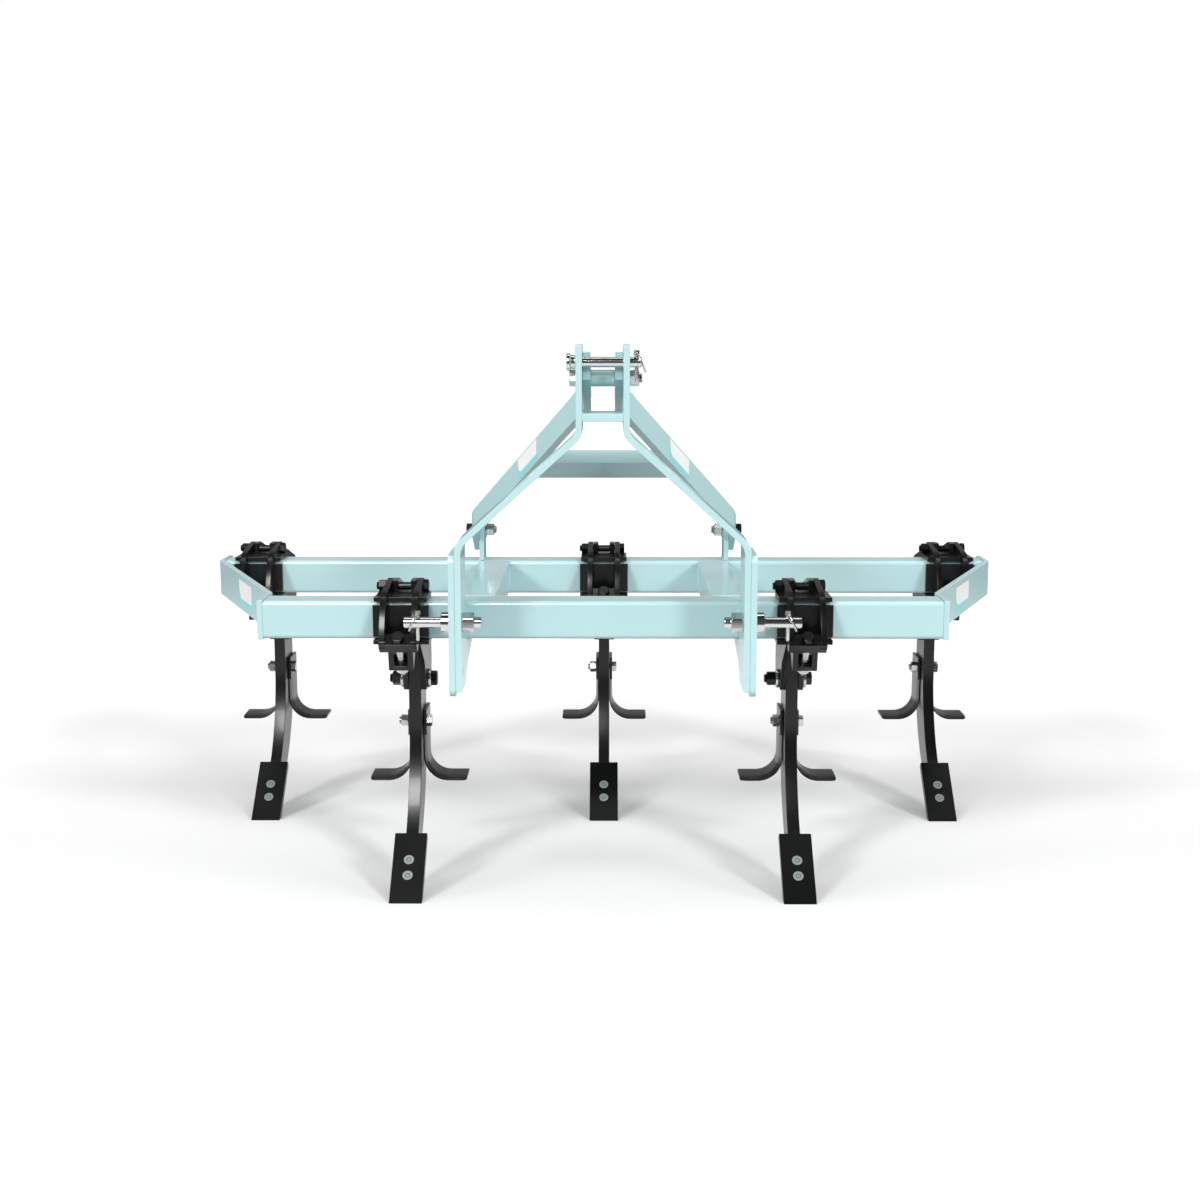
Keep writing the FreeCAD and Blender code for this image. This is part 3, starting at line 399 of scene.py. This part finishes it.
def hexShape(name, both):
    # 1.5 over the flats; the corners of a nut are turned off at both ends, of a head at one
    b = hexagon
    work = bmesh.new()
    rings = []
    for level, top in ((0, False), (1, True)):
        edge, disc = [], []
        for i in range(b["sides"]):
            a = 2 * pi * i / b["sides"]
            reach = b["flat"] / cos((a % (pi / 3)) - pi / 6)
            drop = (reach - b["rim"]) * b["slope"] / b["height"]
            z = level - drop if top else (drop if both else 0.0)
            edge.append(work.verts.new((reach * cos(a), reach * sin(a), z)))
            disc.append(work.verts.new((b["rim"] * cos(a), b["rim"] * sin(a), level)))
        rings += [edge, disc] if top else [disc, edge]
    joinRings(work, rings, True)
    return bpy.data.objects.new(name, smoothMesh(name, work, shapeSharp))


def turnedShape(name, profile, count=32):
    # a shape turned about Z from (radius, height) pairs, closed at both ends
    work = bmesh.new()
    joinRings(work, turnedRings(work, profile, count), True)
    return bpy.data.objects.new(name, smoothMesh(name, work, shapeSharp))


def threadProfile(turns):
    # that many ridges, whatever the length of the threaded end
    profile = [(0.44, 0.0)]
    for k in range(turns):
        profile += [(0.44, (k + 0.1) / turns), (0.5, (k + 0.5) / turns),
                    (0.44, (k + 0.9) / turns)]
    return profile + [(0.40, 1.0)]


shapes = {
    "head": hexShape("headShape", False),
    "nut": hexShape("nutShape", True),
    "washer": turnedShape("washerShape", [(0.96, 0), (1.0, 0.12), (1.0, 0.88), (0.96, 1.0)]),
    "shaft": turnedShape("shaftShape", [(0.5, 0.0), (0.5, 1.0)]),
    "thread": turnedShape("threadShape", threadProfile(8)),
}


def newTree(name, inputs):
    tree = bpy.data.node_groups.new(name, "GeometryNodeTree")
    for label, kind in [("Geometry", "Geometry")] + inputs:
        tree.interface.new_socket(label, in_out="INPUT", socket_type="NodeSocket" + kind)
    tree.interface.new_socket("Geometry", in_out="OUTPUT", socket_type="NodeSocketGeometry")
    return tree, addNode(tree, "NodeGroupInput").outputs


def endTree(tree, geometry, finish):
    real = addNode(tree, "GeometryNodeRealizeInstances", {"Geometry": geometry})
    painted = addNode(tree, "GeometryNodeSetMaterial",
                      {"Geometry": real.outputs["Geometry"], "Material": finish})
    addNode(tree, "NodeGroupOutput", {"Geometry": painted.outputs["Geometry"]})
    return tree


def grown(name, mesh, tree, **inputs):
    # what a tree of geometry nodes makes of a mesh
    holder = newObject("holder", mesh)
    modifier = holder.modifiers.new("nodes", "NODES")
    modifier.node_group = tree
    for item in tree.interface.items_tree:
        if item.in_out == "INPUT" and item.name in inputs:
            modifier[item.identifier] = inputs[item.name]
    return plainMesh(holder, name)


def instanceTree():
    # puts a shape on every point, along the point's own direction and at its own size
    tree, given = newTree("setOnPoints", [("Shape", "Object"), ("Finish", "Material"),
                                          ("Turn", "Float"), ("Seed", "Int")])
    along, size = [addNode(tree, "GeometryNodeInputNamedAttribute", data_type="FLOAT_VECTOR",
                           Name=key).outputs["Attribute"] for key in ("along", "size")]
    shape = addNode(tree, "GeometryNodeObjectInfo", {"Object": given["Shape"]})
    aim = addNode(tree, "FunctionNodeAlignRotationToVector", {"Vector": along}, axis="Z")
    twist = addNode(tree, "FunctionNodeRandomValue",
                    {"Max": given["Turn"], "Seed": given["Seed"]}, data_type="FLOAT")
    about = addNode(tree, "FunctionNodeAxisAngleToRotation", {"Angle": twist.outputs[1]},
                    Axis=(0, 0, 1))
    turned = addNode(tree, "FunctionNodeRotateRotation",
                     {"Rotation": aim.outputs["Rotation"], "Rotate By": about.outputs["Rotation"]},
                     rotation_space="LOCAL")
    spread = addNode(tree, "GeometryNodeInstanceOnPoints",
                     {"Points": given["Geometry"], "Instance": shape.outputs["Geometry"],
                      "Rotation": turned.outputs["Rotation"], "Scale": size})
    return endTree(tree, spread.outputs["Instances"], given["Finish"])


setOnPoints = instanceTree()
placed = {}     # (shape, finish name): list of (place, direction, size)
# lengths in bolt diameters, but for how far a thread starts inside its nut, in metres
boltForm = {"head": 0.7, "nut": 1.0, "washer": 1.1, "end": 0.3, "sunk": 0.002}


def put(shape, finish, place, way, across, length):
    placed.setdefault((shape, finish), []).append((place, way, (across, across, length)))


def boltAcross(x, y, z, bolt, flip=1):
    # a bolt along X through something 2 * half wide: the head on the side of flip
    half, across, washer = bolt["half"], bolt["across"], bolt.get("washer", 0.0)
    finish, nutFinish = bolt["finish"], bolt.get("nutFinish", bolt["finish"])
    place, out, back = Vector((x, y, z)), Vector((flip, 0, 0)), Vector((-flip, 0, 0))
    for way, kind, its in ((out, "head", finish), (back, "nut", nutFinish)):
        face = place + way * half
        if washer:
            put("washer", "zinc", face, way, across * boltForm["washer"], washer)
        put(kind, its, face + way * washer, way, across, across * boltForm[kind])
    end = place + back * (half + washer + across)
    put("thread", nutFinish, end - back * boltForm["sunk"], back, across,
        across * boltForm["end"] + boltForm["sunk"])
    put("shaft", finish, place + back * half, out, across, half * 2)


tineBolts = {
    # places behind the front face of the bar, and above (+) its underside, in metres
    "clamp": {"back": 0.100, "up": 0.1253, "half": 0.049, "across": 0.020,
              "finish": "phosphate"},
    "low": {"back": 0.317, "up": -0.171, "half": 0.0323, "across": 0.024, "washer": 0.010,
            "finish": "phosphate"},
    "high": {"back": 0.337, "up": 0.015, "half": 0.0323, "across": 0.024, "washer": 0.010,
             "finish": "phosphate"},
    "wing": {"back": 0.336, "up": -0.297, "half": 0.0263, "across": 0.020, "finish": "zinc"},
}
# the bolt that leans back through the clamp: from the top of its head, along it
slantBolt = {"back": -0.088, "up": 0.025, "across": 0.020, "lean": 43, "head": 0.0125,
             "grip": 0.1263, "nut": 0.022, "sunk": 0.002, "end": 0.0137}

for tine in tines:
    x, y = tineX[tine], tineY[tine]
    for b in tineBolts.values():
        boltAcross(x, y + b["back"], barLow + b["up"], b)
    b = slantBolt
    lean = radians(b["lean"])
    down = Vector((0, sin(lean), -cos(lean)))
    top = Vector((x, y + b["back"], barLow + b["up"]))
    put("head", "phosphate", top + down * b["head"], -down, b["across"], b["head"])
    put("shaft", "zinc", top + down * b["head"], down, b["across"], b["grip"] - b["head"])
    put("nut", "zinc", top + down * b["grip"], down, b["across"], b["nut"])
    put("thread", "zinc", top + down * (b["grip"] + b["nut"] - b["sunk"]), down, b["across"],
        b["end"])

braceBolts = {"lugIn": 0.364, "armOut": 0.3993,
              "top": {"up": -0.083, "back": 0.095, "half": 0.0665, "across": 0.024,
                      "finish": "zinc"},
              "low": {"up": 0.090, "back": 0.050, "across": 0.024, "washer": 0.004,
                      "finish": "phosphate", "nutFinish": "zinc"}}
b = braceBolts["top"]
mastFront, mastTop = corner("mast_bar_left", 0, 1), corner("mast_bar_left", 1, 2)
boltAcross(0, mastFront + b["back"], mastTop + b["up"], b, -1)
b = braceBolts["low"]
lugIn, armOut = braceBolts["lugIn"], braceBolts["armOut"]
for flip in (-1, 1):
    boltAcross(flip * (lugIn + armOut) / 2, rowFront["rear"] + b["back"], barTop + b["up"],
               {**b, "half": (armOut - lugIn) / 2}, flip)


def pointsMesh(name, items):
    mesh = bpy.data.meshes.new(name)
    mesh.from_pydata([tuple(place) for place, way, size in items], [], [])
    for key, column in (("along", 1), ("size", 2)):
        values = mesh.attributes.new(key, "FLOAT_VECTOR", "POINT")
        for i, item in enumerate(items):
            values.data[i].vector = item[column]
    return mesh


finishes = {"phosphate": phosphate, "zinc": zinc}
boltNodes = {"phosphate": ["tine_bolts_" + t for t in tines]
             + ["brace_bolt_left", "brace_bolt_right"],
             "zinc": ["brace_bolt_top"]}
anyTurn = {"hexagon": 1.047, "round": 6.28, "firstSeed": 3, "ploughSeed": 5}
for number, ((shape, finish), items) in enumerate(sorted(placed.items())):
    name = finish + shape.capitalize() + "s"
    mesh = grown(name, pointsMesh(name, items), setOnPoints, Shape=shapes[shape],
                 Finish=finishes[finish], Turn=anyTurn["hexagon"],
                 Seed=number + anyTurn["firstSeed"])
    makePiece(name, mesh, finishes[finish], boltNodes[finish] if shape == "nut" else ())
print("bolts set:", sum(len(items) for items in placed.values()))


# plough bolts of the points: round countersunk heads, flush with the face

ploughBolt = {"across": 0.028, "stand": 0.0012, "depth": 0.003,
              # places down the point, as shares of its length
              "at": (0.385, 0.605), "length": 0.217, "slope": 42,
              "profile": [(0.50, 0.0), (0.50, 0.86), (0.46, 1.0), (0.25, 1.0), (0.23, 0.7),
                          (0.19, 0.7), (0.17, 1.0), (0.05, 1.05)]}


def ploughBolts():
    b = ploughBolt
    slope = radians(b["slope"])
    normal = Vector((0, -sin(slope), cos(slope)))
    size = (b["across"], b["across"], b["depth"] + b["stand"])
    items = []
    for tine in tines:
        topY = corner("point_" + tine, 0, 1) + b["length"] * cos(slope)
        topZ = b["length"] * sin(slope)
        for share in b["at"]:
            run = b["length"] * share
            place = Vector((tineX[tine], topY - run * cos(slope), topZ - run * sin(slope)))
            items.append((place - normal * b["depth"], normal, size))
    mesh = grown("ploughBolts", pointsMesh("ploughBolts", items), setOnPoints,
                 Shape=turnedShape("ploughHead", b["profile"]), Finish=ground,
                 Turn=anyTurn["round"], Seed=anyTurn["ploughSeed"])
    makePiece("ploughBolts", mesh, ground)


ploughBolts()
print("plough bolts set")


# weld beads: a rippled bead along each seam, painted over with the plates

weld = {"width": 0.0038, "onClamps": 0.8, "ripple": 0.0032, "swell": (0.75, 1.1), "sides": 8,
        "seed": 11,
        "inset": 0.006,     # seams stop this far from their ends
        "round": 0.012,     # and this far from the rounded edge of a bar
        "mast": 0.016}      # thickness of a mast bar and of a hitch plate


def beadTree():
    tree, given = newTree("bead", [("Width", "Float"), ("Ripple", "Float"), ("Seed", "Int"),
                                   ("Finish", "Material")])
    line = addNode(tree, "GeometryNodeMeshToCurve", {"Mesh": given["Geometry"]})
    fine = addNode(tree, "GeometryNodeResampleCurve",
                   {"Curve": line.outputs["Curve"], "Length": given["Ripple"]}, mode="LENGTH")
    least, most = weld["swell"]
    swell = addNode(tree, "FunctionNodeRandomValue", {"Seed": given["Seed"]},
                    data_type="FLOAT", Min=least, Max=most)
    radius = addNode(tree, "ShaderNodeMath", {0: given["Width"], 1: swell.outputs[1]},
                     operation="MULTIPLY")
    ring = addNode(tree, "GeometryNodeCurvePrimitiveCircle", Resolution=weld["sides"], Radius=1.0)
    tube = addNode(tree, "GeometryNodeCurveToMesh",
                   {"Curve": fine.outputs["Curve"], "Profile Curve": ring.outputs["Curve"],
                    "Scale": radius.outputs["Value"]}, Fill_Caps=True)
    smooth = addNode(tree, "GeometryNodeSetShadeSmooth", {"Geometry": tube.outputs["Mesh"]})
    return endTree(tree, smooth.outputs["Geometry"], given["Finish"])


beadOf = beadTree()


def beads(name, seams, finish, width):
    points, lines = [], []
    for a, b in seams:
        a, b = Vector(a), Vector(b)
        short = (b - a).normalized() * weld["inset"]
        points += [a + short, b - short]
        lines.append((len(points) - 2, len(points) - 1))
    mesh = bpy.data.meshes.new(name)
    mesh.from_pydata([tuple(p) for p in points], lines, [])
    makePiece(name, grown(name, mesh, beadOf, Width=width, Ripple=weld["ripple"],
                          Seed=weld["seed"], Finish=finish), finish)


def frameSeams():
    seams = []
    front, rear = rowFront["front"], rowFront["rear"]
    back = corner("front_bar", 1, 1)
    clear, thick = weld["round"], weld["mast"]
    for side, sign in sides:
        low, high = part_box("beam_" + side)
        for y in (back, rear):
            for x in (low[0], high[0]):
                seams.append(((x, y, low[2]), (x, y, high[2] - clear)))
            seams.append(((low[0], y, low[2]), (high[0], y, low[2])))
        outer = corner("hitch_plate_" + side, sign > 0, 0)
        inner = outer - sign * 2 * thick
        for x in (outer, inner):
            seams.append(((x, front, barLow + clear), (x, front, barTop - clear)))
        for x in (outer - sign * thick, inner):
            seams.append(((x, front + clear, barLow), (x, back - clear, barLow)))
        low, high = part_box("brace_lug_" + side)
        for x in (low[0], high[0]):
            seams.append(((x, low[1], barTop), (x, high[1], barTop)))
        low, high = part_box("mast_tie")
        x = corner("mast_tie", sign > 0, 0)
        for z in (low[2], high[2]):
            seams.append(((x, low[1], z), (x, high[1], z)))
    return seams


# inner face of a rib from the tine's middle, thickness of a rib, front of the face plate ahead
# of the bar, top of the top plate above it, ends of the seams
clampWeld = {"rib": 0.033, "thick": 0.016, "plate": 0.012, "top": 0.0123, "clear": 0.01,
             "back": 0.10}


def clampSeams():
    b = clampWeld
    top = barTop + b["top"]
    seams = []
    for tine in tines:
        front, back = tineY[tine] - b["plate"], tineY[tine] + b["back"]
        for sign in (-1, 1):
            for edge in (b["rib"], b["rib"] + b["thick"]):
                x = tineX[tine] + sign * edge
                seams.append(((x, front, barLow + b["clear"]), (x, front, barTop - b["clear"])))
                seams.append(((x, front, top), (x, back, top)))
    return seams


beads("frameWelds", frameSeams(), turquoise, weld["width"])
beads("clampWelds", clampSeams(), black, weld["width"] * weld["onClamps"])
print("welds laid")


# linch pins of the hitch pins, each with its ring

linch = {"across": 0.0095, "length": 0.078, "proud": 0.016, "sides": 20, "sharp": 40,
         "merge": 1e-6,
         # place along X, and radius of the hitch pin that it goes through
         "lower": (0.466, 0.0142), "top": (0.083, 0.0127),
         # (radius as a share of the pin's, height) above the foot, and from the top of the head
         "foot": [(0.0, 0.0), (0.6, 0.001), (1.0, 0.005)],
         "head": [(1.0, -0.012), (1.5, -0.011), (1.5, -0.001), (1.2, 0.0), (0.0, 0.0)],
         # the ring: radius, wire, points round it, steps round a quarter of the wire, start
         # outside the head, lean outward, and how far below the head's top it starts
         "ring": 0.023, "wire": 0.0022, "points": 40, "wireSteps": 3, "outside": 0.002,
         "leanOut": 0.010, "below": 0.006}


def bentWire(points):
    # a closed round wire along points
    data = bpy.data.curves.new("ring", "CURVE")
    data.dimensions = "3D"
    data.bevel_depth = linch["wire"]
    data.bevel_resolution = linch["wireSteps"]
    line = data.splines.new("POLY")
    line.points.add(len(points) - 1)
    for p, where in zip(line.points, points):
        p.co = (*where, 1)
    line.use_cyclic_u = True
    return plainMesh(newObject("holder", data), "ring")


def linchPins():
    b = linch
    wide = b["across"] / 2
    work = bmesh.new()
    for pin, sign in (("lower", -1), ("lower", 1), ("top", 1)):
        at, around = b[pin]
        hitchPin = "lower_pin_left" if pin == "lower" else "top_pin"
        x, y = sign * at, middleOf(hitchPin, 1)
        top = middleOf(hitchPin, 2) + around + b["proud"]
        low = top - b["length"]
        profile = [(wide * r, low + z) for r, z in b["foot"]]
        profile += [(wide * r, top + z) for r, z in b["head"]]
        joinRings(work, turnedRings(work, profile, b["sides"], x, y), False)
        # the ring hangs from the head, round the end of the hitch pin
        loop = []
        for i in range(b["points"]):
            a = 2 * pi * i / b["points"]
            loop.append((x + sign * (b["outside"] + b["leanOut"] * (1 - cos(a))),
                         y + b["ring"] * sin(a),
                         top - b["below"] - b["ring"] * (1 - cos(a))))
        work.from_mesh(bentWire(loop))
    bmesh.ops.remove_doubles(work, verts=work.verts, dist=b["merge"])
    makePiece("linchPins", smoothMesh("linchPins", work, b["sharp"]), zinc)


linchPins()
print("linch pins set")


# blank decals: a white field with one round corner over a turquoise one

decal = {
    # round corner and place along the face of each kind
    "plateDecal": {"length": 0.172, "height": 0.072, "corner": 0.040, "at": 0.43},
    "braceDecal": {"length": 0.145, "height": 0.056, "corner": 0.028, "at": 0.475},
    # radius of the other corners, steps round a corner, share of the height that the turquoise
    # field shows under the white one, thickness, and what the white field adds to it
    "small": 0.004, "steps": 8, "field": 0.26, "stand": 0.0006, "over": 0.6,
    # the side plates' bends: front ones out from the middle and behind the front row,
    # rear ones ahead of the rear row
    "frontOut": 0.901, "frontBack": 0.133, "rearAhead": 0.003,
}


def decalMesh(name, size, middle, along, out, layer):
    # layer 0 is the turquoise field, 1 the white one over it
    up = Vector((0, 0, 1))
    length, height, small = size["length"], size["height"], decal["small"]
    radius = size["corner"] if layer else small
    a0, a1, z1 = -length / 2, length / 2, height / 2
    z0 = -height / 2 + (decal["field"] * height if layer else 0.0)
    outline = []
    for cx, cz, r, start in ((a1 - small, z1 - small, small, 0),
                             (a0 + small, z1 - small, small, 90),
                             (a0 + radius, z0 + radius, radius, 180),
                             (a1 - small, z0 + small, small, 270)):
        for i in range(decal["steps"] + 1):
            t = radians(start + 90 * i / decal["steps"])
            outline.append((cx + r * cos(t), cz + r * sin(t)))
    work = bmesh.new()
    rings = []
    for depth in (0.0, decal["stand"] * (1 + layer * decal["over"])):
        rings.append([work.verts.new(middle + along * u + up * v + out * depth)
                      for u, v in outline])
        work.faces.new(rings[-1])
    joinRings(work, rings, False)
    bmesh.ops.recalc_face_normals(work, faces=work.faces)
    return meshOf(name, work)


def decals():
    for side, sign in sides:
        # the slanting run of the plate, from its front bend to its rear one
        first = Vector((sign * decal["frontOut"], rowFront["front"] + decal["frontBack"], 0))
        last = Vector((corner("side_plate_" + side, sign > 0, 0),
                       rowFront["rear"] - decal["rearAhead"], 0))
        run = (last - first).normalized()
        out = Vector((run.y, -run.x, 0)) * sign
        lift = Vector((0, 0, 1)) * (barLow + barTop) / 2
        spots = [("plateDecal", first, last, lift, out)]
        # the slanting outer face of the brace, from its upper bend to its lower one
        mesh = bpy.data.objects["brace_" + side + "_edges"].data
        faces = [f for f in mesh.polygons if f.normal.x * sign > 0.5 and f.normal.y < -0.2]
        face = max(faces, key=lambda f: f.area)
        ends = sorted((mesh.vertices[i].co for i in face.vertices), key=lambda p: p.y)
        spots.append(("braceDecal", (ends[0] + ends[1]) / 2, (ends[-1] + ends[-2]) / 2,
                      Vector((0, 0, 0)), face.normal))
        for name, first, last, lift, out in spots:
            size = decal[name]
            middle = first.lerp(last, size["at"]) + lift
            along = (last - first).normalized() * sign
            for layer, (kind, finish) in enumerate((("Field_", labelBlue), ("Card_", labelWhite))):
                full = name + kind + side
                makePiece(full, decalMesh(full, size, middle, along, out, layer), finish)


decals()
print("decals laid")
